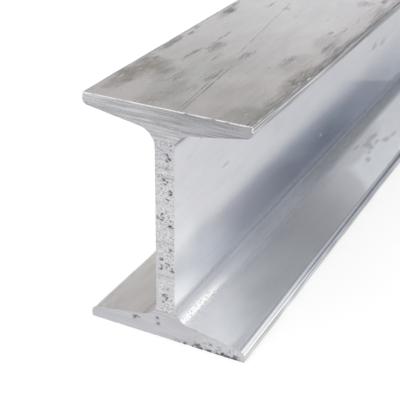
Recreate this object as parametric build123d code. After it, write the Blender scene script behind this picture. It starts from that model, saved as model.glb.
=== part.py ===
"""Steel I-beam, American standard shape S4 x 9.5 (metric S100 x 14.1).

One hot-rolled bar, cut square at both ends: a web between two flanges that taper towards their toes.
Millimetres. X runs across the flanges, Y along the beam and Z up.
The origin is the middle of the underside, where the beam rests.
"""

import math
import os

from build123d import *

# Driving dimensions
LENGTH = 610.0  # a two-foot cut, the shortest in which this section is sold
DEPTH = 101.6  # over both flanges
FLANGE_WIDTH = 71.0
WEB_THICKNESS = 8.28
FLANGE_THICKNESS = 7.44  # the mean, read half way out along the overhang
FLANGE_TAPER = 1 / 6  # fall of the flange's inner face for each unit outwards
ROOT_RADIUS = 7.4  # inside, where a flange meets the web
TOE_RADIUS = 2.8  # inner edge of each flange toe
EDGE_RADIUS = 0.8  # outer edge of each flange toe
TOE_FLAT = 0.5  # least upright face left between a toe's two roundings


def flange_heights():
    """Thickness of a flange at its toe and where it meets the web, before any rounding."""
    overhang = (FLANGE_WIDTH - WEB_THICKNESS) / 2
    half_rise = FLANGE_TAPER * overhang / 2
    return FLANGE_THICKNESS - half_rise, FLANGE_THICKNESS + half_rise


def fitted_toe_radius(toe_height):
    """The toe's rounding, kept small enough for the height of the toe."""
    corner = math.pi / 2 + math.atan(FLANGE_TAPER)
    room = toe_height - EDGE_RADIUS - TOE_FLAT
    return min(TOE_RADIUS, room * math.tan(corner / 2))


def outline_corners():
    """The section's twelve corners as (x, z, radius), in order round it and measured from its middle."""
    toe_height, root_height = flange_heights()
    half_depth = DEPTH / 2
    quarter = [
        (WEB_THICKNESS / 2, half_depth - root_height, ROOT_RADIUS),
        (FLANGE_WIDTH / 2, half_depth - toe_height, fitted_toe_radius(toe_height)),
        (FLANGE_WIDTH / 2, half_depth, EDGE_RADIUS),
    ]
    corners = []
    for side, level in ((1, 1), (-1, 1), (-1, -1), (1, -1)):
        run = quarter if side == level else quarter[::-1]
        corners += [(side * x, level * z, radius) for x, z, radius in run]
    return corners


def beam():
    """The whole bar, as one solid that rests on its lower flange."""
    corners = outline_corners()
    mid_depth = Plane(origin=(0, 0, DEPTH / 2), x_dir=(1, 0, 0), z_dir=(0, -1, 0))
    with BuildPart() as bar:
        with BuildSketch(mid_depth):
            with BuildLine():
                FilletPolyline(
                    *[(x, z) for x, z, _ in corners],
                    radius=[radius for _, _, radius in corners],
                    close=True,
                )
            make_face()
        extrude(amount=LENGTH / 2, both=True)
    return bar.part


os.makedirs("parts", exist_ok=True)
export_step(beam(), "parts/i_beam.step")
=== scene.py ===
"""Looks of the steel I-beam: its sawn ends, its rolled skin with stains and scratches, and a plain studio.

Metres, in the frame of the solid part: X across the flanges, Y along the beam, Z up.
"""

import math
from random import Random

import bmesh
import bpy
from mathutils import Matrix, Vector, kdtree, noise


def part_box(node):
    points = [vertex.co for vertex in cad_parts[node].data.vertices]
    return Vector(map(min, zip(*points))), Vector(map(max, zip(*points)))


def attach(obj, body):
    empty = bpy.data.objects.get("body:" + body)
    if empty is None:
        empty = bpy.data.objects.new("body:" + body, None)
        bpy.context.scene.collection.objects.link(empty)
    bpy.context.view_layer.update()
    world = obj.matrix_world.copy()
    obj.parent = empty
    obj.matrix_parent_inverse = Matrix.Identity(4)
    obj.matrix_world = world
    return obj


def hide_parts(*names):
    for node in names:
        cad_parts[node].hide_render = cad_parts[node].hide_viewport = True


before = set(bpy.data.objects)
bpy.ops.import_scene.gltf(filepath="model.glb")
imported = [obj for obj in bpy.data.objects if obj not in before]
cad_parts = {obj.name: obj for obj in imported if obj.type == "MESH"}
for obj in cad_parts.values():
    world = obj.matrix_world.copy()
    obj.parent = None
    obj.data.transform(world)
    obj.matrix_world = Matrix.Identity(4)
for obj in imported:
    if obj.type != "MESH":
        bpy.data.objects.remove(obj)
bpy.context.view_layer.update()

LOW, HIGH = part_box("i_beam")
MIDDLE = HIGH.z / 2

# Section, as in the solid part
WEB_THICKNESS = 0.00828
FLANGE_THICKNESS = 0.00744  # half way out along the overhang
FLANGE_TAPER = 1 / 6
ROOT_RADIUS = 0.0074
TOE_RADIUS = 0.0028
EDGE_RADIUS = 0.0008
ROUND_SEGMENTS = {ROOT_RADIUS: 16, TOE_RADIUS: 10, EDGE_RADIUS: 4}

# Sawn ends
FINE_GRID = 0.00022  # spacing of the mesh over the end of the web
COARSE_GRID = 0.0005  # and over the ends of the flanges
FLANGE_REACH = 0.014  # from the beam's foot or its top to where the fine spacing begins
BURR_WIDTH = 0.0008  # of the broken edge round an end
BURR_DEPTH = 0.0002
SAW_DEPTH = 0.00004  # of the lines that the blade leaves
SAW_WAVE = 0.0012  # from one of them to the next
TORN_DEPTH = 0.00020  # of the web's torn surface
TEARS = [88.0, 77.5, 73.6, 62.3, 45.0, 30.0, 12.5]  # heights in millimetres of grooves right across the web
TEAR_DEPTH = 0.00025
TEAR_HALF_WIDTH = 0.32  # in millimetres
PIT_DEPTH = 0.0006
PIT_REACH = 1.6  # from a pit's middle to where it stops, in lengths of the pit
PITS_IN_WEB = 60
PITS_IN_FLANGE = 26
# Where pits gather, as (x, z, spread, count) in millimetres
PIT_GROUPS = [
    (1.5, 81.5, 1.4, 7), (-0.3, 71.5, 1.7, 8), (2.0, 66.0, 1.2, 5), (-1.5, 37.0, 1.5, 7),
    (2.0, 34.0, 1.0, 5), (-2.0, 32.0, 0.8, 4), (2.0, 41.0, 1.0, 4), (0.0, 19.5, 1.9, 7),
    (-2.0, 57.0, 1.5, 4), (2.5, 52.0, 1.0, 4),
]
# Chips out of the lower flange's end, as (x, z) in millimetres
CHIPS = [
    (-15.0, 6.2), (-14.6, 5.8), (-12.8, 6.4), (-4.0, 8.8), (-3.6, 6.0), (13.4, 1.2), (14.2, 0.9),
    (14.8, 1.5), (17.6, 3.4), (20.6, 3.6), (24.0, 3.7), (25.6, 1.0), (31.0, 1.4), (32.2, 1.8),
    (23.0, 1.6), (29.0, 3.0),
]

# Distances from an end at which the sides are cut across
STATIONS = [
    0.0004, 0.001, 0.002, 0.004, 0.007, 0.012, 0.02, 0.03, 0.045, 0.065, 0.09, 0.12, 0.155, 0.19, 0.23,
    0.27,
]


def section_corners():
    """The corners in order, as (x, z, radius, cut), where a rounding takes cut off the lines beside it."""
    half_web = WEB_THICKNESS / 2
    overhang = HIGH.x - half_web
    toe = FLANGE_THICKNESS - FLANGE_TAPER * overhang / 2
    root = toe + FLANGE_TAPER * overhang
    half_corner = (math.pi / 2 + math.atan(FLANGE_TAPER)) / 2
    quarter = [
        (half_web, MIDDLE - root, ROOT_RADIUS, ROOT_RADIUS / math.tan(half_corner)),
        (HIGH.x, MIDDLE - toe, TOE_RADIUS, TOE_RADIUS / math.tan(half_corner)),
        (HIGH.x, MIDDLE, EDGE_RADIUS, EDGE_RADIUS),
    ]
    corners = []
    for side, level in ((1, 1), (-1, 1), (-1, -1), (1, -1)):
        run = quarter if side == level else quarter[::-1]
        corners += [(side * x, MIDDLE + level * z, radius, cut) for x, z, radius, cut in run]
    return corners


def end_outline(bm):
    """The near end as one flat face, with its corners rounded and a narrow border along its edge."""
    corners = section_corners()
    verts = [bm.verts.new((x, LOW.y, z)) for x, z, radius, cut in corners]
    bm.faces.new(verts)
    for radius, segments in ROUND_SEGMENTS.items():
        chosen = [(v, c[3]) for v, c in zip(verts, corners) if c[2] == radius]
        bmesh.ops.bevel(
            bm, geom=[v for v, cut in chosen], offset=chosen[0][1], offset_type="OFFSET", affect="VERTICES",
            segments=segments, profile=0.5, material=-1,
        )
    bmesh.ops.inset_region(
        bm, faces=bm.faces[:], thickness=BURR_WIDTH, use_even_offset=True, use_boundary=True,
    )


def grid_lines(low, high, fine_low, fine_high):
    """Places from low to high, close together between fine_low and fine_high."""
    stretches = (
        (low, fine_low, COARSE_GRID), (fine_low, fine_high, FINE_GRID), (fine_high, high, COARSE_GRID),
    )
    places = []
    for start, stop, spacing in stretches:
        count = round((stop - start) / spacing)
        places += [start + (stop - start) * i / count for i in range(count)]
    return places[1:]


def cut_in_squares(bm):
    """Cuts the end across and up into squares, fine enough to carry saw lines and pits."""
    inside = WEB_THICKNESS / 2 - BURR_WIDTH
    across = grid_lines(LOW.x + BURR_WIDTH, HIGH.x - BURR_WIDTH, -inside, inside)
    low, high = LOW.z + BURR_WIDTH, HIGH.z - BURR_WIDTH
    upwards = grid_lines(low, high, FLANGE_REACH, HIGH.z - FLANGE_REACH)
    for normal, places in ((Vector((1, 0, 0)), across), (Vector((0, 0, 1)), upwards)):
        for place in places:
            geometry = bm.verts[:] + bm.edges[:] + bm.faces[:]
            bmesh.ops.bisect_plane(
                bm, geom=geometry, dist=FINE_GRID / 4, plane_co=normal * place, plane_no=normal,
            )


def draw_out(bm):
    """Draws the sides out from the near end to the middle, then mirrors all of it for the far half."""
    rim = [e for e in bm.edges if e.is_boundary]
    for distance in [*STATIONS, HIGH.y]:
        made = bmesh.ops.extrude_edge_only(bm, edges=rim)["geom"]
        fresh = {v for v in made if isinstance(v, bmesh.types.BMVert)}
        rim = [e for e in made if isinstance(e, bmesh.types.BMEdge) and fresh.issuperset(e.verts)]
        for v in fresh:
            v.co.y = LOW.y + distance
    geometry = bm.verts[:] + bm.edges[:] + bm.faces[:]
    bmesh.ops.mirror(bm, geom=geometry, merge_dist=FINE_GRID / 100, axis="Y")
    bmesh.ops.recalc_face_normals(bm, faces=bm.faces[:])


def scatter_pits(seed):
    """Pits of one sawn end as (x, z, length, width, turn, depth), most of them in the web."""
    rng = Random(seed)
    places = [
        (rng.uniform(-0.9, 0.9) * WEB_THICKNESS / 2, rng.uniform(0.012, 0.088), 0.5)
        for _ in range(PITS_IN_WEB)
    ]
    for x, z, spread, count in PIT_GROUPS:
        places += [
            (rng.gauss(x, spread * 0.6) / 1000, rng.gauss(z, spread) / 1000, rng.uniform(0.8, 2.0))
            for _ in range(count)
        ]
    places += [(rng.gauss(0.023, 0.006), rng.gauss(0.0032, 0.0010), 0.4) for _ in range(PITS_IN_FLANGE)]
    places += [(x / 1000, z / 1000, 2.6) for x, z in CHIPS]
    pits = []
    for x, z, strength in places:
        wide = rng.uniform(0.14, 0.30) * (0.5 + 0.5 * strength) / 1000
        long = wide * rng.uniform(1.0, 2.6)
        turn = rng.uniform(-0.6, 0.9)
        deep = PIT_DEPTH * min(strength, 1.5) * rng.uniform(0.5, 1.0)
        pits.append((x, z, long, wide, turn, deep))
    return pits


def saw_relief(x, z, seed):
    """How deep the blade has left a point of an end: fine lines all over, torn and rough in the web."""
    in_web = max(0.0, 1 - abs(x) / (WEB_THICKNESS * 0.75)) ** 0.5
    line = noise.noise(Vector((x * 40, seed, z / SAW_WAVE)))
    torn = noise.fractal(Vector((x * 700, seed, z * 1500)), 0.6, 2.0, 4)
    return SAW_DEPTH * (1 + line) + TORN_DEPTH * in_web * (0.5 + 0.5 * max(-1.0, min(1.0, torn)))


def tear_share(x, z, seed):
    """1 in the middle of a groove across the web and 0 beside it. The grooves waver and break off."""
    if abs(x) > WEB_THICKNESS * 0.6:
        return 0.0
    wavering = 0.25 * noise.noise(Vector((x * 500, seed, z * 20)))
    broken = 0.75 + 0.9 * noise.noise(Vector((x * 350, seed + 5, z * 90)))
    nearest = min(abs(z * 1000 + wavering - tear) for tear in TEARS)
    return max(0.0, 1 - nearest / TEAR_HALF_WIDTH) * max(0.0, min(1.0, broken))


def end_depths(verts, end, seed, pitted):
    """How deep saw and pits have gone at each vertex of an end. Notes in pitted where the pits are."""
    tree = kdtree.KDTree(len(verts))
    for i, v in enumerate(verts):
        tree.insert(v.co, i)
    tree.balance()
    depths = [saw_relief(v.co.x, v.co.z, seed) for v in verts]
    shallowest = min(depths)
    depths = [deep - shallowest for deep in depths]
    for x, z, long, wide, turn, deep in scatter_pits(seed):
        for place, i, _ in tree.find_range((x, end, z), long * PIT_REACH):
            across, up = place.x - x, place.z - z
            first = (across * math.cos(turn) + up * math.sin(turn)) / long
            second = (up * math.cos(turn) - across * math.sin(turn)) / wide
            ragged = 1 + 0.6 * noise.noise(Vector((place.x * 2500, seed, place.z * 2500)))
            share = max(0.0, 1 - (first ** 2 + second ** 2) * ragged / 2)
            depths[i] += deep * share
            verts[i][pitted] = max(verts[i][pitted], share)
    return depths


def work_ends(bm):
    """Gives each end its saw lines, pits and broken edge, all of it inwards so that the size stays."""
    burr = bm.verts.layers.float.new("burr")
    pitted = bm.verts.layers.float.new("pitted")
    for end, inwards, seed in ((LOW.y, 1, 3), (HIGH.y, -1, 11)):
        faces = [f for f in bm.faces if all(abs(v.co.y - end) < FINE_GRID / 10 for v in f.verts)]
        verts = list({v for f in faces for v in f.verts})
        chosen = set(faces)
        for v, deep in zip(verts, end_depths(verts, end, seed, pitted)):
            share = tear_share(v.co.x, v.co.z, seed)
            deep += TEAR_DEPTH * share
            v[pitted] = max(v[pitted], 0.5 * share)
            if any(f not in chosen for f in v.link_faces):
                chipped = max(0.0, noise.noise(Vector((v.co.x * 420, seed, v.co.z * 420))))
                deep = BURR_DEPTH * (0.3 + 3 * chipped ** 2)
                v[burr] = 1 - min(0.8, 1.1 * chipped)
            v.co.y = end + inwards * deep
        for f in faces:
            f.material_index = 1
            for e in f.edges:
                if any(g not in chosen for g in e.link_faces):
                    e.smooth = False


def make_beam(finishes):
    """The whole beam as one piece. The first finish is for its sides and the second for its sawn ends."""
    bm = bmesh.new()
    end_outline(bm)
    cut_in_squares(bm)
    draw_out(bm)
    work_ends(bm)
    for f in bm.faces:
        f.smooth = True
    mesh = bpy.data.meshes.new("steel_i_beam")
    bm.to_mesh(mesh)
    bm.free()
    for finish in finishes:
        mesh.materials.append(finish)
    piece = bpy.data.objects.new("steel_i_beam", mesh)
    bpy.context.scene.collection.objects.link(piece)
    return piece


class Value:
    """A number that changes over a surface. An expression on such values adds the nodes that work it out."""

    def __init__(self, finish, socket):
        self.finish = finish
        self.socket = socket

    def maths(self, operation, first, second=0.0):
        return self.finish.add("ShaderNodeMath", {"operation": operation}, {0: first, 1: second})

    def __add__(self, other):
        return self.maths("ADD", self, other)

    def __sub__(self, other):
        return self.maths("SUBTRACT", self, other)

    def __rsub__(self, other):
        return self.maths("SUBTRACT", other, self)

    def __mul__(self, other):
        return self.maths("MULTIPLY", self, other)

    def __abs__(self):
        return self.maths("ABSOLUTE", self)

    __radd__ = __add__
    __rmul__ = __mul__

    def ramp(self, start, stop):
        """0 below start and 1 above stop, smooth between them. With start above stop it falls instead."""
        settings = {"interpolation_type": "SMOOTHSTEP"}
        low, high = min(start, stop), max(start, stop)
        sockets = {"Value": self, "From Min": low, "From Max": high}
        rising = self.finish.add("ShaderNodeMapRange", settings, sockets)
        return rising if start <= stop else 1 - rising

    def most(self, other):
        """The larger of two values."""
        return self.maths("MAXIMUM", self, other)

    def least(self, other):
        """The smaller of two values."""
        return self.maths("MINIMUM", self, other)


class Finish:
    """A material, or the surroundings, while it is put together from nodes."""

    def __init__(self, holder):
        self.holder = holder
        holder.use_nodes = True
        self.tree = holder.node_tree
        self.tree.nodes.clear()
        self.place = self.add("ShaderNodeTexCoord", {}, {}, "Object")
        split = self.add("ShaderNodeSeparateXYZ", {}, {0: self.place}, None)
        self.x, self.y, self.z = (Value(self, socket) for socket in split.outputs)

    def add(self, kind, settings, sockets, output=0):
        """Adds a node of that kind and gives one of its outputs, or the node itself where output is None."""
        node = self.tree.nodes.new(kind)
        for name, setting in settings.items():
            setattr(node, name, setting)
        for name, given in sockets.items():
            if isinstance(given, Value):
                self.tree.links.new(given.socket, node.inputs[name])
            else:
                node.inputs[name].default_value = given
        return node if output is None else Value(self, node.outputs[output])

    def stretched(self, x, y, z):
        """The surface's place, multiplied along each axis."""
        return self.add("ShaderNodeVectorMath", {"operation": "MULTIPLY"}, {0: self.place, 1: (x, y, z)})

    def cloud(self, place, detail=3.0, roughness=0.55):
        """Noise about one half."""
        sockets = {"Vector": place, "Scale": 1.0, "Detail": detail, "Roughness": roughness}
        return self.add("ShaderNodeTexNoise", {}, sockets)

    def stirred(self, amount, x, y, z):
        """The surface's place, moved about by noise so that what is drawn there gets a ragged edge."""
        sockets = {"Vector": self.stretched(x, y, z), "Scale": 1.0, "Detail": 3.0}
        noisy = self.add("ShaderNodeTexNoise", {}, sockets, "Color")
        centred = self.add("ShaderNodeVectorMath", {"operation": "SUBTRACT"}, {0: noisy, 1: (0.5, 0.5, 0.5)})
        sockets = {0: centred, 1: amount, 2: self.place}
        return self.add("ShaderNodeVectorMath", {"operation": "MULTIPLY_ADD"}, sockets)

    def patch(self, place, centre, size, soft=0.6):
        """1 within an ellipsoid and 0 outside. Its soft rim takes up that share of the half sizes."""
        scale = [1 / half for half in size]
        shift = [-c / half for c, half in zip(centre, size)]
        sockets = {0: place, 1: scale, 2: shift}
        scaled = self.add("ShaderNodeVectorMath", {"operation": "MULTIPLY_ADD"}, sockets)
        length = self.add("ShaderNodeVectorMath", {"operation": "LENGTH"}, {0: scaled}, "Value")
        return length.ramp(1, 1 - soft)

    def blend(self, share, first, second, blend_type="MIX"):
        """From the first colour at share 0 to the second at share 1, or to their product for MULTIPLY."""
        settings = {"data_type": "RGBA", "blend_type": blend_type}
        return self.add("ShaderNodeMix", settings, {0: share, 6: first, 7: second}, 2)

    def metal(self, colour, roughness, height, reach):
        """Ends the material in a metal of that colour, whose bump is reach metres high where height is 1."""
        sockets = {"Height": height, "Distance": reach, "Strength": 1.0}
        bump = self.add("ShaderNodeBump", {}, sockets, "Normal")
        sockets = {"Base Color": colour, "Roughness": roughness, "Metallic": 1.0, "Normal": bump}
        shader = self.add("ShaderNodeBsdfPrincipled", {}, sockets, "BSDF")
        self.add("ShaderNodeOutputMaterial", {}, {"Surface": shader}, None)
        return self.holder


def spot(x, y, z):
    """A place given in millimetres, where y runs from the near end."""
    return (x / 1000, LOW.y + y / 1000, z / 1000)


# Places and half sizes of marks are in millimetres, with y from the near end
TOP = 101.6  # height of the top face
LOWER = 7  # and of the lower flange's inner face
ANY = 1000  # half height of a mark that takes in every height
# Marks on the top face as (x, y, half width, half length, strength)
STAINS = [
    (-29, 28, 7, 18, 1.0), (-28, 16, 6, 8, 1.0), (-27, 39, 8, 12, 1.0), (-19, 40, 6, 10, 0.6),
    (-16, 32, 9, 13, 0.45), (28, 6, 9, 14, 0.6), (23, 66, 9, 16, 0.45), (-14, 69, 5, 13, 0.6),
    (26, 98, 9, 14, 0.35), (10, 22, 8, 14, 0.2), (0, 45, 5, 24, 0.35), (-6, 16, 7, 16, 0.35),
    (-31, 119, 4, 14, 0.6), (30, 50, 4, 16, 0.5), (30, 150, 5, 16, 0.4), (33, 40, 4, 44, 0.8),
    (-10, 14, 9, 20, 0.3), (-33, 45, 3, 12, 0.6), (-5, 4, 16, 9, 0.3),
]
SMUDGES = [
    (0.5, 37, 2.8, 9, 0.85), (2.6, 66, 2.6, 11, 1.0), (-0.6, 22, 1.8, 8, 0.7), (0, 124, 1.2, 6, 0.5),
    (-11, 32, 2.4, 11, 0.7), (-8, 60, 1.6, 10, 0.6), (-14, 69, 3.6, 12, 0.8), (-18.5, 57, 2.2, 11, 0.9),
    (-17, 84, 1.4, 10, 0.8), (-20, 35, 5, 11, 0.45), (-29.3, 46.5, 2.4, 4, 1.1), (-29, 16, 4.5, 7, 0.3),
    (-26, 30, 6, 14, 0.2), (-32.5, 66, 2.8, 14, 1.2), (-31.3, 82, 2, 4, 1.0), (-32.5, 90, 2.2, 4, 1.0),
    (-31.3, 120, 3.4, 10, 1.1), (-33, 132, 1.8, 7, 0.9), (-18, 138, 1.8, 8, 0.7), (-8, 134, 3.0, 3, 0.5),
    (32, 47, 3.4, 4, 1.2), (33, 23, 2.0, 5, 1.0), (33.6, 50, 1.6, 16, 0.9), (30.5, 60, 2.2, 9, 0.7),
    (29, 90, 3.0, 12, 1.1), (33, 88, 2.2, 14, 1.0), (26.3, 112, 1.8, 13, 0.8), (23, 110, 1.0, 4, 0.7),
    (28, 134, 1.2, 8, 0.7), (32, 149, 3.0, 13, 0.8), (28.5, 170, 2.4, 6, 1.3), (21, 161, 5.5, 7, 0.8),
    (20, 66, 3.6, 10, 0.7),
]
SMUDGE_SPREAD = 1 / 0.85  # by which a smudge is drawn larger, as its soft rim fades away
# Marks on the right side as (x, y, z, half sizes across, along and up, strength)
SIDE_STAINS = [
    (22.5, 189, 6, 2.4, 5, 9, 1.0), (20.5, 197, 6, 1.5, 5, 9, 0.8), (19.5, 203, 6, 1.5, 4, 9, 1.0),
    (16.5, 205, 6, 3.2, 6, 9, 1.1), (12.5, 198, 6, 1.6, 5, 9, 0.9), (15.5, 213, 6, 1.6, 8, 9, 0.9),
    (16, 219, 6, 1.8, 5, 9, 0.9), (19.5, 213, 6, 1.3, 6, 9, 0.9), (22.5, 220, 6, 2.0, 7, 9, 1.0),
    (24, 230, 6, 1.4, 8, 9, 0.7), (13, 148, 6, 3.0, 14, 9, 0.3), (9, 225, 9, 2.0, 20, 9, 0.5),
    (4, 45, 61, 9, 4, 0.9, 0.7), (4, 242, 53, 9, 7, 2.6, 0.9), (4, 258, 51, 9, 6, 3.2, 0.7),
    (4, 24, 82, 9, 5, 0.8, 0.5), (4, 12, 78, 9, 4, 0.7, 0.4), (4, 100, 38, 9, 14, 1.2, 0.3),
    (4, 34, 16, 9, 3, 1.0, 0.8), (4, 128, 20, 9, 9, 1.5, 0.35),
]
# Bright spots on the web, the stronger of them a painted glint
BRIGHT_SPOTS = [(4, 160, 29, 9, 3.5, 1.0, 1.0), (4, 180, 24, 9, 6, 0.6, 0.5)]
# Painted reflections of shade on the lower flange, grey, as (x, y, half width, half length, softness,
# strength)
FLANGE_REFLECTIONS = [
    (26, 86, 45, 74, 0.45, 0.65), (12.5, 190, 8, 58, 0.50, 0.9), (31, 30, 11, 44, 1.0, 1.0),
    (22, 38, 12, 20, 1.0, 0.6),
]
FLANGE_REFLECTION_SLANT = 0.76  # how much nearer the painted reflection on the lower flange ends for each step to the right
WEB_REFLECTION_FALL = 0.336  # how much lower the painted dark reflection on the web ends for each step along the beam
WEB_REFLECTION_RISE = 0.05  # and how much higher it reaches full strength
# Fine dark lines on the top face as (x at the start, y, x at the stop, y, half width, strength)
SEAMS = [(6.7, -1, 2.6, 52, 0.65, 1.3), (5.4, -1, 1.0, 46, 0.5, 1.0), (-1.5, 66, -10.5, 144, 0.6, 0.7)]

# Colours of the rolled skin, in pairs from dark to bright where noise blends two of them
WHITE = (1, 1, 1, 1)
# Near white: the plain colour under the upper flange, and a painted bright reflection on the web beside the
# near end
PALE_ZINC_AND_SHEEN = (0.99, 0.99, 1.0, 1)
ZINC, BRIGHT_ZINC, BRIGHT_WEB = (0.82, 0.82, 0.85, 1), (0.90, 0.90, 0.93, 1), (0.89, 0.89, 0.93, 1)
ROSY_TOP, BRIGHT_ROSY_TOP = (0.775, 0.735, 0.74, 1), (0.91, 0.875, 0.885, 1)
GREEN_TOP, BRIGHT_GREEN_TOP = (0.665, 0.68, 0.67, 1), (0.825, 0.835, 0.835, 1)
FAR_TOP, BRIGHT_FAR_TOP = (0.895, 0.89, 0.935, 1), (0.985, 0.98, 1.0, 1)
FLANGE, BRIGHT_FLANGE = (0.950, 0.972, 0.985, 1), (0.975, 0.990, 1.0, 1)
# Painted reflections of shade on the lower flange, near and far
NEAR_FLANGE_REFLECTION, FAR_FLANGE_REFLECTION = (0.775, 0.80, 0.83, 1), (0.775, 0.77, 0.795, 1)
# Painted shade on the underside of the upper flange
UNDERSIDE_SHADE = (0.46, 0.47, 0.48, 1)
TOE_STRIP = (0.70, 0.71, 0.73, 1)
PALE_EDGE = (1.0, 0.985, 0.97, 1)
STAIN_BROWN = (0.40, 0.38, 0.34, 1)
SMUDGE_GREY = (0.27, 0.27, 0.28, 1)
SIDE_STAIN_GREY = (0.35, 0.34, 0.37, 1)
FLECK = (0.95, 0.94, 0.94, 1)
# Painted glints in light streaks on the top face
STREAK_GLINT = (0.98, 0.96, 0.965, 1)
SPECKLE = (0.56, 0.57, 0.60, 1)
# Painted shadow along the crease of the upper root
CREASE_SHADOW = (0.30, 0.30, 0.32, 1)
TOE_DARK, TOE_PALE, FAR_TOE_PALE = (0.16, 0.16, 0.17, 1), (0.80, 0.79, 0.80, 1), (0.50, 0.50, 0.51, 1)
TOE_LINE = (0.15, 0.15, 0.165, 1)
# Painted shade in the lower roots and along the toes, near and far
NEAR_ROOT_AND_TOE_SHADE, FAR_ROOT_AND_TOE_SHADE = (0.40, 0.42, 0.47, 1), (0.33, 0.345, 0.38, 1)
# Tints, which multiply the colour below them
# Painted dark reflection low on the right of the web
WEB_REFLECTION_TINT = (0.46, 0.49, 0.545, 1)
ROSY = (0.90, 0.86, 0.865, 1)
# Painted dark reflection on the lower flange close to the near end
NEAR_REFLECTION_TINT = (0.77, 0.775, 0.785, 1)
OVER_ROOT = (0.81, 0.815, 0.82, 1)
# Painted shade in the left lower root at the near end
LEFT_ROOT_SHADE = (0.64, 0.625, 0.63, 1)
WARM = (1.0, 0.972, 0.945, 1)
HIDDEN = (0.72, 0.725, 0.75, 1)
# Painted dark reflection in a band along the web
BAND_REFLECTION_TINT = (0.66, 0.68, 0.73, 1)
RIM = (0.58, 0.58, 0.60, 1)
# Painted shade on the lower toe's rounding
TOE_FOOT_SHADE = (0.62, 0.625, 0.64, 1)

SKIN_ROUGHNESS = 0.196  # before clouds, web, roots and marks change it
SKIN_RELIEF = 0.00006


class RolledSkin(Finish):
    """The finish of the sides, with the noises and the shares of its stretches that many marks use."""

    def __init__(self):
        super().__init__(bpy.data.materials.new("rolled_skin"))
        self.ragged = self.cloud(self.stretched(1100, 160, 1100)).ramp(0.38, 0.62)
        self.streaks = self.cloud(self.stretched(700, 9, 700))
        self.clouds = self.cloud(self.stretched(35, 14, 35))
        self.tone = (0.25 * self.streaks + 0.75 * self.clouds).ramp(0.35, 0.65)
        self.wavering = self.stirred((0.004, 0.016, 0), 120, 40, 120)
        # Stretches of the section, by places in metres
        self.from_middle = abs(self.z - MIDDLE)
        self.on_right = self.x.ramp(0, 0.002)
        self.on_left = self.x.ramp(0, -0.002)
        self.on_top = self.z.ramp(0.1000, 0.1012)
        self.below_top = 1 - self.on_top
        self.in_web = abs(self.x).ramp(0.0052, 0.0044) * self.from_middle.ramp(0.036, 0.032)
        self.lower_flange = self.z.ramp(0.014, 0.010) * self.x.ramp(0.0060, 0.0110)
        self.underside = self.z.ramp(0.089, 0.091) * self.below_top
        # Where the lower right root has a painted highlight at the near end
        self.root_highlight = self.mark(self.wavering, (7.7, 11, 8.5), (5.4, 37, 5.6), 0.6)
        self.root_highlight = self.root_highlight * self.x.ramp(0.0040, 0.0046)

    def along(self, start, stop):
        """0 before start and 1 past stop, both in millimetres from the near end, or the other way round."""
        return self.y.ramp(LOW.y + start / 1000, LOW.y + stop / 1000)

    def mark(self, place, middle, half, soft):
        """Share of one mark, whose middle and half sizes are in millimetres."""
        return self.patch(place, spot(*middle), [size / 1000 for size in half], soft)

    def marks(self, place, rows, soft):
        """Shares of the marks in rows of (middle, half sizes, strength), added up."""
        share = 0.0
        for middle, half, strength in rows:
            share = strength * self.mark(place, middle, half, soft) + share
        return share


def marks_on_top(skin):
    """Shares of brown stain and of dark smudge on the top face, as far as the photo shows it."""
    moved = skin.stirred((0.010, 0.022, 0), 120, 60, 120)
    rows = [((x, y, TOP), (wide, long, ANY), strength) for x, y, wide, long, strength in STAINS]
    mottle = skin.cloud(skin.stretched(190, 80, 190), detail=5.0, roughness=0.65).ramp(0.35, 0.65)
    stain = skin.marks(moved, rows, 0.6).least(1.0) * (0.45 + 0.55 * mottle)

    moved = skin.stirred((0.004, 0.008, 0), 330, 90, 330)
    rows = [
        ((x, y, TOP), (wide * SMUDGE_SPREAD, long * SMUDGE_SPREAD, ANY), strength)
        for x, y, wide, long, strength in SMUDGES
    ]
    left_margin = skin.x.ramp(-0.0338, -0.0350) * skin.along(8, 18)
    within = skin.marks(moved, rows, 0.8).most(0.9 * skin.x.ramp(0.0315, 0.0335)).most(1.3 * left_margin)
    dashes = skin.cloud(skin.stretched(1900, 110, 1900), detail=5.0, roughness=0.72)
    haze = skin.cloud(skin.stretched(420, 60, 420), detail=4.0, roughness=0.65).ramp(0.38, 0.60)
    smudge = 0.85 * (dashes + 0.17 * within.least(1.5)).ramp(0.585, 0.70) + 0.24 * within.least(1.0) * haze
    edge_line = skin.cloud(skin.stretched(1600, 45, 1600), detail=4.0).ramp(0.33, 0.49)
    edge_line = edge_line * skin.x.ramp(0.0336, 0.0347) * skin.along(0, 30)
    smudge = smudge.most(0.9 * edge_line)
    for x, y, last_x, last_y, wide, strength in SEAMS:
        slope = (last_x - x) / (last_y - y)
        start = spot(x, y, TOP)
        aside = abs(skin.x - start[0] - slope * (skin.y - start[1]))
        between = skin.along(y - 1, y) * skin.along(last_y + 4, last_y - 4)
        smudge = smudge + strength * aside.ramp(wide / 1000, 0) * between * (0.3 + 0.7 * skin.ragged)
    return stain, smudge.least(1.0)


def marks_on_side(skin):
    """Share of grey stain on the right side, and of bright spots there, the stronger of them a painted
    glint.
    """
    moved = skin.stirred((0.003, 0.012, 0.002), 260, 110, 400)
    stains, bright_spots = ([(row[:3], row[3:6], row[6]) for row in rows] for rows in (SIDE_STAINS, BRIGHT_SPOTS))
    return skin.marks(moved, stains, 0.7).least(1.0), skin.marks(moved, bright_spots, 0.5)


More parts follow.
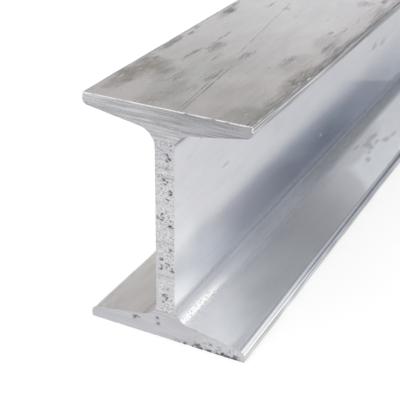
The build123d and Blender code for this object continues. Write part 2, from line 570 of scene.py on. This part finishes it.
def marks_elsewhere(skin):
    """Shares of stain and smudge for all other stretches, of the same kind but scattered."""
    on_flats = skin.from_middle.ramp(0.0500, 0.0505)
    blotches = skin.cloud(skin.stretched(65, 22, 65), detail=6.0, roughness=0.62)
    stain = blotches.ramp(0.53, 0.68) * (0.25 + 0.75 * on_flats)
    dashes = skin.cloud(skin.stretched(1300, 150, 1300), detail=5.0, roughness=0.70)
    gathered = skin.cloud(skin.stretched(110, 26, 110), detail=3.0).ramp(0.50, 0.66)
    near_margin = abs(skin.x).ramp(0.029, 0.0345)
    smudge = (dashes + 0.16 * gathered.most(0.8 * near_margin)).ramp(0.585, 0.72)
    smudge = smudge * (0.35 + 0.65 * on_flats) * (0.6 + 0.4 * skin.ragged)
    return stain * 0.7, smudge


def painted_root_and_toe_shade(skin):
    """Share of painted shade in the lower roots and along the toes. It thins out towards each end."""
    from_end = HIGH.y - abs(skin.y)
    root = abs(skin.x).ramp(0.0116, 0.0078) * skin.z.ramp(0.0168, 0.0133) * skin.z.ramp(0.0053, 0.0063)
    toe = skin.from_middle.ramp(0.0440, 0.0462) * skin.from_middle.ramp(0.0480, 0.0470)
    toe = toe * abs(skin.x).ramp(0.0325, 0.0340)
    share = (root * from_end.ramp(0.010, 0.090)).most(toe * from_end.ramp(0.030, 0.100) * 0.8)
    return share * (0.9 + 0.1 * skin.ragged)


def colour_of_sides(skin):
    """Clouded zinc. The right of the web has a painted dark reflection low down, and a painted bright
    reflection beside the near end.
    """
    colour = skin.blend(skin.tone, ZINC, BRIGHT_ZINC)
    colour = skin.blend(skin.in_web, colour, skin.blend(skin.tone, ZINC, BRIGHT_WEB))
    # Painted dark reflection low on the right of the web, with edges that slant along the beam
    falling = (skin.z + WEB_REFLECTION_FALL * (skin.y - LOW.y)).ramp(0.1145, 0.1120)
    rising = (skin.z - WEB_REFLECTION_RISE * (skin.y - LOW.y - 0.100)).ramp(0.051, 0.020)
    web_reflection = falling * rising * (0.3 + 0.7 * skin.z.ramp(0.013, 0.021)) * skin.on_right
    web_reflection = web_reflection * (0.75 * skin.along(10, 70) - 0.08 * skin.along(110, 180))
    colour = skin.blend(web_reflection, colour, WEB_REFLECTION_TINT, "MULTIPLY")
    # Painted bright reflection on the web beside the near end
    near_end_sheen = skin.along(24, 8) * skin.z.ramp(0.055, 0.042) * skin.in_web
    return skin.blend(near_end_sheen, colour, PALE_ZINC_AND_SHEEN)


def colour_of_top(skin):
    """The top face: darker towards the near end, partly as stains and partly as a painted reflection,
    greenish in places and rosy along its right margin.
    """
    fine = skin.cloud(skin.stretched(150, 50, 150), detail=4.0)
    mottle = (0.15 * skin.streaks + 0.5 * skin.clouds + 0.35 * fine).ramp(0.38, 0.62)
    moved = skin.stirred((0.016, 0.040, 0), 60, 24, 60)
    greenish = skin.mark(moved, (-3, 36, TOP), (17, 52, ANY), 0.8)
    greenish = greenish.most(skin.mark(moved, (29, 8, TOP), (11, 22, ANY), 0.8))
    greenish = (greenish * 0.85 + 0.35 * skin.clouds).least(1.0)
    dull = skin.blend(greenish, ROSY_TOP, GREEN_TOP)
    bright = skin.blend(greenish, BRIGHT_ROSY_TOP, BRIGHT_GREEN_TOP)
    near = skin.blend(mottle, dull, bright)
    far = skin.blend(mottle, FAR_TOP, BRIGHT_FAR_TOP)
    # Darker towards the near end, partly as stains and partly as a painted reflection
    colour = skin.blend(skin.along(20, 120), near, far)
    return skin.blend(skin.x.ramp(0.018, 0.032) * skin.along(35, 80), colour, ROSY, "MULTIPLY")


def colour_right_flanges(skin, colour):
    """Grey painted reflections of shade on the lower flange, and a patch of painted shade on the underside
    above it that the lower flange mirrors.
    """
    colour = skin.blend(skin.lower_flange, colour, skin.blend(skin.tone, FLANGE, BRIGHT_FLANGE))
    # Painted shade on the underside of the upper flange, which the lower flange mirrors
    underside_shade = skin.mark(skin.wavering, (18, 216, 95), (45, 85, ANY), 0.45)
    colour = skin.blend(skin.underside, colour, skin.blend(underside_shade, PALE_ZINC_AND_SHEEN, UNDERSIDE_SHADE))

    # Painted reflections of shade on the lower flange, with a slanted far edge
    flange_reflection = 0.0
    for x, y, wide, long, soft, strength in FLANGE_REFLECTIONS:
        flange_reflection = (strength * skin.mark(skin.wavering, (x, y, LOWER), (wide, long, ANY), soft)).most(flange_reflection)
    wavering_y = skin.add("ShaderNodeSeparateXYZ", {}, {0: skin.wavering}, 1)
    slanted_edge = (wavering_y + FLANGE_REFLECTION_SLANT * skin.x).ramp(LOW.y + 0.190, LOW.y + 0.178)
    flange_reflection = flange_reflection.most(slanted_edge * skin.along(50, 95))
    flange_reflection_colour = skin.blend(skin.along(70, 110), NEAR_FLANGE_REFLECTION, FAR_FLANGE_REFLECTION)
    colour = skin.blend(flange_reflection * skin.lower_flange, colour, flange_reflection_colour)
    toe_strip = skin.mark(skin.wavering, (31.4, 8, LOWER), (3.6, 58, ANY), 0.9)
    colour = skin.blend(toe_strip * skin.lower_flange, colour, TOE_STRIP)
    # More painted dark reflection on the lower flange close to the near end
    near_reflection = skin.mark(skin.wavering, (25, 35, LOWER), (12, 34, ANY), 0.9)
    colour = skin.blend(near_reflection * skin.lower_flange, colour, NEAR_REFLECTION_TINT, "MULTIPLY")

    over_root = skin.z.ramp(0.0112, 0.0126) * skin.z.ramp(0.0178, 0.0150) * abs(skin.x).ramp(0.0090, 0.0080)
    return skin.blend(over_root * skin.along(65, 40), colour, OVER_ROOT, "MULTIPLY")


def colour_left_flange(skin, colour):
    """The lower flange left of the web: warmer, pale along its edge, and with painted shade in its root at
    the near end.
    """
    flange = skin.z.ramp(0.016, 0.012) * skin.x.ramp(0, -0.004)
    colour = skin.blend(flange, colour, WARM, "MULTIPLY")
    colour = skin.blend(0.7 * flange * skin.x.ramp(-0.023, -0.032), colour, PALE_EDGE)
    # Painted shade in the left lower root at the near end
    root = skin.x.ramp(-0.0120, -0.0098) * skin.on_left * skin.z.ramp(0.0170, 0.0150)
    return skin.blend(root * skin.along(40, 20), colour, LEFT_ROOT_SHADE, "MULTIPLY")


def shade_hidden_parts(skin, colour):
    """Darkens what the photo doesn't show, and more in a band of painted dark reflection along the web, like
    the one that it shows.
    """
    top = skin.on_top * skin.along(420, 170)
    right = skin.along(450, 280).most(skin.lower_flange).most(skin.underside)
    right = right * skin.on_right * skin.below_top
    left = skin.on_left * skin.below_top * skin.along(150, 70)
    hidden = 1 - top.most(right).most(left)
    colour = skin.blend(hidden, colour, HIDDEN, "MULTIPLY")
    # Painted dark reflection in a band along the web
    band_reflection = abs(skin.z - 0.027).ramp(0.027, 0.010) * (0.6 + 0.4 * skin.clouds.ramp(0.4, 0.6)) * skin.in_web
    return skin.blend(band_reflection * hidden, colour, BAND_REFLECTION_TINT, "MULTIPLY")


def mark_skin(skin, colour):
    """Lays stains, smudges, painted glints and bright spots over the colour. Also gives the shares of stain
    and smudge.
    """
    shown_top = skin.on_top * skin.along(185, 165)
    shown_side = skin.on_right * skin.below_top * skin.along(310, 270)
    elsewhere = 1 - shown_top.most(0.8 * shown_side)
    stain, smudge = (
        shown_top * share + elsewhere * other
        for share, other in zip(marks_on_top(skin), marks_elsewhere(skin))
    )
    colour = skin.blend(stain * 0.95, colour, STAIN_BROWN)
    colour = skin.blend(smudge * 0.85, colour, SMUDGE_GREY)
    rim = skin.on_top * skin.x.ramp(0.0338, 0.0347) * skin.along(45, 75)
    colour = skin.blend(rim * (0.4 + 0.6 * skin.ragged), colour, RIM, "MULTIPLY")
    flecks = skin.cloud(skin.stretched(950, 100, 950), detail=4.0, roughness=0.7).ramp(0.58, 0.70)
    colour = skin.blend((0.35 + 0.9 * stain).least(1.0) * flecks * skin.on_top, colour, FLECK)
    # Painted glints in light streaks along the right of the top face
    streak_glints = skin.cloud(skin.stretched(1300, 42, 1300), detail=4.0, roughness=0.6).ramp(0.55, 0.64)
    streak_glints = streak_glints * skin.on_top * skin.x.ramp(0.018, 0.027) * skin.along(45, 100)
    colour = skin.blend(0.75 * streak_glints, colour, STREAK_GLINT)
    side_stain, bright_spot = marks_on_side(skin)
    colour = skin.blend(side_stain * shown_side * 0.45, colour, SIDE_STAIN_GREY)
    # Bright spots on the web, the stronger of them a painted glint
    return skin.blend(bright_spot * shown_side, colour, WHITE), stain, smudge


def colour_near_corners(skin, colour):
    """A painted highlight with speckle in the lower root at the near end, and a painted shadow along the
    crease of the upper one.
    """
    speckle = skin.cloud(skin.stretched(1100, 700, 1100), detail=4.0, roughness=0.7).ramp(0.52, 0.66)
    # Painted highlight in the lower root at the near end, with speckle over it
    colour = skin.blend(skin.root_highlight, colour, WHITE)
    colour = skin.blend(speckle * skin.root_highlight * 0.7, colour, SPECKLE)
    # Painted shadow along the crease of the upper root at the near end
    crease_shadow = skin.mark(skin.wavering, (5, 4, 89.5), (4.5, 13, 3.5), 0.7)
    return skin.blend(0.75 * crease_shadow, colour, CREASE_SHADOW)


def colour_toes(skin, colour):
    """The flanges' right edges, with lines along them, painted shade, and a painted highlight along the
    crest of the lower one.
    """
    lines = skin.cloud(skin.stretched(0, 14, 1500), detail=3.0)
    upper = skin.x.ramp(0.0340, 0.0350) * skin.z.ramp(0.0930, 0.0945) * skin.below_top
    pale = skin.blend(skin.along(50, 85), TOE_PALE, FAR_TOE_PALE)
    colour = skin.blend(upper, colour, skin.blend(lines.ramp(0.42, 0.56), TOE_DARK, pale))

    lower = skin.z.ramp(0.0120, 0.0100)
    # Painted shade on the lower toe's rounding
    foot_shade = skin.x.ramp(0.0328, 0.0333) * skin.x.ramp(0.0342, 0.0338) * lower
    colour = skin.blend(foot_shade, colour, TOE_FOOT_SHADE, "MULTIPLY")
    broken = skin.cloud(skin.stretched(900, 45, 900), detail=3.0).ramp(0.36, 0.56)
    dark = abs(skin.z - 0.0027).ramp(0.0008, 0.0003).most(skin.z.ramp(0.0016, 0.0009))
    dark = dark.most(0.4 * lines.ramp(0.56, 0.42)) * (0.35 + 0.65 * broken)
    colour = skin.blend(0.9 * skin.x.ramp(0.0342, 0.0350) * lower * dark, colour, TOE_LINE)
    # Painted shade in the lower roots and along the toes
    colour = skin.blend(painted_root_and_toe_shade(skin), colour, skin.blend(skin.along(110, 160), NEAR_ROOT_AND_TOE_SHADE, FAR_ROOT_AND_TOE_SHADE))
    # Painted highlight along the crest of the lower toe
    crest_highlight = skin.x.ramp(0.0340, 0.0344) * lower * skin.z.ramp(0.0024, 0.0034)
    crest_highlight = crest_highlight * (0.25 + 0.75 * skin.along(80, 35)) * skin.along(240, 170)
    return skin.blend(crest_highlight, colour, WHITE)


def rolled_skin():
    """The sides: bright zinc-grey metal, clouded, with fine lines, stains and smudges, and with painted
    shade, highlights and reflections.
    """
    skin = RolledSkin()
    colour = skin.blend(skin.on_top, colour_of_sides(skin), colour_of_top(skin))
    colour = colour_right_flanges(skin, colour)
    colour = colour_left_flange(skin, colour)
    colour = shade_hidden_parts(skin, colour)
    colour, stain, smudge = mark_skin(skin, colour)
    colour = colour_near_corners(skin, colour)
    colour = colour_toes(skin, colour)

    roots = abs(skin.x).ramp(0.0120, 0.0080) * abs(skin.x).ramp(0.0041, 0.0062)
    roots = roots * skin.from_middle.ramp(0.0450, 0.0440) * (1 - skin.root_highlight)
    roughness = SKIN_ROUGHNESS + 0.06 * skin.clouds - 0.055 * skin.in_web + 0.28 * roots
    roughness = roughness + 0.10 * stain + 0.15 * smudge
    waves = skin.cloud(skin.stretched(25, 10, 25), detail=1.0)
    return skin.metal(colour, roughness, 0.15 * skin.streaks + waves, SKIN_RELIEF)


# Colours of the sawn ends
SAWN, PALE_SAWN = (0.40, 0.40, 0.42, 1), (0.67, 0.67, 0.69, 1)
LOW_SAWN = (0.55, 0.55, 0.585, 1)
TORN, PALE_TORN, CALM_TORN = (0.46, 0.46, 0.48, 1), (0.79, 0.79, 0.81, 1), (0.625, 0.625, 0.655, 1)
PIT_DARK = (0.15, 0.15, 0.16, 1)
# Painted shadow in the corner of the upper root, along an end's broken edge
END_CREASE_SHADOW = (0.25, 0.25, 0.26, 1)
GLINT = (0.98, 0.98, 0.98, 1)
FRAYED = (0.10, 0.10, 0.105, 1)
# Tints, which multiply the colour below them
DULL_FLANGE = (0.68, 0.67, 0.68, 1)
SHADED_TORN = (0.86, 0.86, 0.87, 1)

SAWN_ROUGHNESS = 0.42
SAWN_RELIEF = 0.00008


def sawn_steel():
    """The ends: paler metal, lined across by the saw, coarse and speckled where the web was torn."""
    sawn = Finish(bpy.data.materials.new("sawn_steel"))
    torn = abs(sawn.x).ramp(0.0062, 0.0040) * abs(sawn.z - MIDDLE).ramp(0.0400, 0.0370)
    torn = torn.most(sawn.patch(sawn.place, (0.026, 0, 0.0035), (0.015, 1, 0.0048), 0.5))
    calm = sawn.cloud(sawn.stretched(110, 110, 85), detail=2.0).ramp(0.52, 0.60)
    lines = sawn.cloud(sawn.stretched(70, 70, 2300), detail=4.0, roughness=0.65)
    bands = sawn.cloud(sawn.stretched(45, 45, 420), detail=2.0)
    grain = sawn.cloud(sawn.stretched(1000, 1000, 1700), detail=4.0, roughness=0.65)
    burr = sawn.add("ShaderNodeAttribute", {"attribute_name": "burr"}, {}, "Fac")
    pitted = sawn.add("ShaderNodeAttribute", {"attribute_name": "pitted"}, {}, "Fac")

    tone = (0.55 * lines + 0.25 * bands + 0.20 * grain).ramp(0.41, 0.59)
    plain = sawn.blend(tone, SAWN, PALE_SAWN)
    dull = sawn.z.ramp(0.0900, 0.0940) * sawn.x.ramp(-0.0250, 0.0200)
    dull = dull * (0.85 + 0.15 * sawn.x.ramp(0.022, 0.032))
    plain = sawn.blend(dull, plain, DULL_FLANGE, "MULTIPLY")
    plain = sawn.blend(0.7 * sawn.z.ramp(0.0160, 0.0120), plain, LOW_SAWN)

    rough_tone = (grain + 0.35 * sawn.z.ramp(0.066, 0.076) * (lines - 0.5)).ramp(0.34, 0.62)
    speckled = sawn.blend(rough_tone, TORN, PALE_TORN)
    speckled = sawn.blend(0.65 * calm, speckled, CALM_TORN)
    shaded = sawn.z.ramp(0.0650, 0.0850) * sawn.z.ramp(0.0905, 0.0865)
    speckled = sawn.blend(shaded, speckled, SHADED_TORN, "MULTIPLY")

    colour = sawn.blend(0.8 * torn, plain, speckled)
    colour = sawn.blend(pitted * 0.85, colour, PIT_DARK)
    # Painted shadow in the corner of the upper root, along the broken edge
    crease_shadow = sawn.patch(sawn.place, (0.0060, 0, 0.0885), (0.0050, 1, 0.0055), 0.5) * burr.ramp(0.2, 0.8)
    colour = sawn.blend(0.7 * crease_shadow, colour, END_CREASE_SHADOW)
    glint = burr.ramp(0.15, 0.6) * sawn.z.ramp(0.0985, 0.0998) * (0.6 + 0.4 * grain.ramp(0.36, 0.50))
    colour = sawn.blend(glint * 0.8, colour, GLINT)
    frayed = sawn.cloud(sawn.stretched(500, 500, 500), detail=3.0).ramp(0.42, 0.56)
    frayed = frayed * sawn.z.ramp(0.0016, 0.0008) * sawn.x.ramp(0.002, 0.008)
    colour = sawn.blend(0.9 * frayed, colour, FRAYED)
    height = (0.2 + 0.5 * sawn.z.ramp(0.012, 0.024)) * lines + (0.3 + 0.9 * torn) * (1 - 0.6 * calm) * grain
    return sawn.metal(colour, SAWN_ROUGHNESS, height, SAWN_RELIEF)


def add_sheet(name, width, height, place, facing):
    """A flat sheet of the studio, centred at place and facing a point."""
    mesh = bpy.data.meshes.new(name)
    bm = bmesh.new()
    bmesh.ops.create_grid(bm, x_segments=1, y_segments=1, size=0.5)
    turn = (Vector(facing) - Vector(place)).to_track_quat("Z", "Y").to_matrix().to_4x4()
    placed = Matrix.Translation(place) @ turn @ Matrix.Diagonal((width, height, 1, 1))
    bmesh.ops.transform(bm, matrix=placed, verts=bm.verts[:])
    bm.to_mesh(mesh)
    bm.free()
    sheet = bpy.data.objects.new(name, mesh)
    bpy.context.scene.collection.objects.link(sheet)
    return sheet


def add_lamp(name, width, height, place, aim, power):
    """A soft lamp that doesn't show in reflections."""
    data = bpy.data.lights.new(name, "AREA")
    data.shape = "RECTANGLE"
    data.size, data.size_y = width, height
    data.energy = power
    lamp = bpy.data.objects.new(name, data)
    lamp.visible_glossy = False
    lamp.location = place
    lamp.rotation_euler = (Vector(aim) - Vector(place)).to_track_quat("-Z", "Y").to_euler()
    bpy.context.scene.collection.objects.link(lamp)


def seen_rays(finish):
    """1 for a ray from the camera or a reflection, 0 for one that only carries light."""
    rays = finish.add("ShaderNodeLightPath", {}, {}, None)
    seen = Value(finish, rays.outputs["Is Camera Ray"])
    for name in ("Is Glossy Ray", "Is Transmission Ray"):
        seen = seen.most(Value(finish, rays.outputs[name]))
    return seen


def add_card(name, width, height, place, facing, paint):
    """A card that only the metal shows. Paint gives its colour from its finish."""
    card = add_sheet(name, width, height, place, facing)
    finish = Finish(bpy.data.materials.new(name))
    glow = finish.add("ShaderNodeEmission", {}, {"Color": paint(finish), "Strength": 1.0})
    finish.add("ShaderNodeOutputMaterial", {}, {"Surface": glow}, None)
    card.data.materials.append(finish.holder)
    card.visible_camera = False
    card.visible_diffuse = False
    card.visible_shadow = False


FLOOR_SIZE = 80
FLOOR_GREY = (0.45, 0.45, 0.45, 1)
FLOOR_GLOW = 0.66  # added where the floor is looked at, so that it shows white
AIR_LIGHT = 0.7  # of the surroundings, which show as 1
LAMP_POWER = 5.0
# Cards with one soft patch, as (name, middle, half sizes, softness, colour). The size of 0 is the thickness.
SOFT_CARDS = [
    ("dark_screen", (1.06, 2.0, 0.44), (1.03, 0, 0.85), 0.42, (0.14, 0.18, 0.245, 1)),
    ("shaded_floor", (0.056, 0.193, 0.0005), (0.126, 0.605, 0), 0.63, (0.63, 0.635, 0.65, 1)),
    ("far_floor", (0.97, 1.24, 0.0008), (0.74, 0.93, 0), 0.60, (0.235, 0.275, 0.34, 1)),
    ("left_floor", (-0.50, 0.15, 0.0007), (0.42, 0.75, 0), 0.80, (0.46, 0.46, 0.49, 1)),
    ("front_screen", (0, -2.8, 0.95), (2.9, 0, 0.80), 0.60, (0.30, 0.31, 0.34, 1)),
    ("left_screen", (-2.6, -0.2, 0.90), (0, 2.4, 0.75), 0.60, (0.34, 0.35, 0.38, 1)),
    ("right_screen", (3.4, -0.9, 0.95), (0, 2.2, 0.80), 0.60, (0.34, 0.35, 0.38, 1)),
    ("right_floor", (0.62, -0.05, 0.0006), (0.38, 0.75, 0), 0.70, (0.42, 0.43, 0.46, 1)),
    ("roof", (0, -0.2, 2.5), (1.3, 1.2, 0), 0.70, (0.50, 0.50, 0.51, 1)),
]


def add_soft_card(name, middle, half, softness, colour):
    """A white card with a soft patch of that colour, which reaches to its edges."""
    across = half.index(0)
    facing = Vector(middle)
    facing[across] = 1.0
    width, height = (2 * size for size in half if size)
    sizes = [size or 1 for size in half]
    add_card(
        name, width, height, middle, facing,
        lambda finish: finish.blend(finish.patch(finish.place, middle, sizes, softness), WHITE, colour),
    )


def upper_wall(finish):
    """Warm grey above, fading to white towards the floor."""
    return finish.blend(finish.z.ramp(0.23, 1.13), WHITE, (0.46, 0.45, 0.44, 1))


def studio():
    """A wide white floor, white surroundings, cards that the metal shows, and a soft lamp."""
    floor = add_sheet("floor", FLOOR_SIZE, FLOOR_SIZE, (0, 0, 0), (0, 0, 1))
    paint = Finish(bpy.data.materials.new("floor_white"))
    matt = paint.add("ShaderNodeBsdfDiffuse", {}, {"Color": FLOOR_GREY})
    glow = paint.add("ShaderNodeEmission", {}, {"Color": seen_rays(paint), "Strength": FLOOR_GLOW})
    both = paint.add("ShaderNodeAddShader", {}, {0: matt, 1: glow})
    paint.add("ShaderNodeOutputMaterial", {}, {"Surface": both}, None)
    floor.data.materials.append(paint.holder)

    for card in SOFT_CARDS:
        add_soft_card(*card)
    add_card("upper_wall", 2.2, 2.4, (-1.5, 2.0, 1.4), (-1.5, 0.0, 1.4), upper_wall)
    add_card(
        "white_edge", 0.90, 1.13, (2.32, 1.96, 0.565), (2.32, 0, 0.565),
        lambda finish: (0.85, 0.85, 0.85, 1),
    )
    add_card(
        "white_card", 0.674, 0.567, (0.537, 1.97, 0.284), (0.537, 0, 0.284),
        lambda finish: (0.70, 0.71, 0.74, 1),
    )

    world = bpy.data.worlds.new("surroundings")
    bpy.context.scene.world = world
    air = Finish(world)
    brightness = AIR_LIGHT + (1 - AIR_LIGHT) * seen_rays(air)
    light = air.add("ShaderNodeBackground", {}, {"Color": brightness, "Strength": 1.0})
    air.add("ShaderNodeOutputWorld", {}, {"Surface": light}, None)

    add_lamp("overhead", 1.2, 1.2, (-0.3, -0.6, 1.3), (0, 0, 0), LAMP_POWER)
    bpy.context.scene.view_settings.view_transform = "Standard"


# The photograph's view: a camera right of the near end, looking along the beam and down
PICTURE_SIZE = 400
FOCAL_PIXELS = 982.5
VIEW_PLACE = (0.1610, LOW.y - 0.2878, 0.2385)
VIEW_TURN = math.radians(26.89)
VIEW_DOWN = math.radians(27.86)
VIEW_ROLL = math.radians(0.66)


def add_camera():
    """Looks through the photograph's camera."""
    data = bpy.data.cameras.new("camera")
    data.sensor_width = 36.0
    data.lens = data.sensor_width * FOCAL_PIXELS / PICTURE_SIZE
    data.clip_start = 0.01
    data.clip_end = 100
    camera = bpy.data.objects.new("camera", data)
    turn = Matrix.Rotation(VIEW_TURN, 4, "Z")
    tilt = Matrix.Rotation(math.pi / 2 - VIEW_DOWN, 4, "X")
    roll = Matrix.Rotation(VIEW_ROLL, 4, "Z")
    camera.matrix_world = Matrix.Translation(VIEW_PLACE) @ turn @ tilt @ roll
    bpy.context.scene.collection.objects.link(camera)
    bpy.context.scene.camera = camera


add_camera()
studio()
beam = make_beam([rolled_skin(), sawn_steel()])
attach(beam, "root")
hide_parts("i_beam")
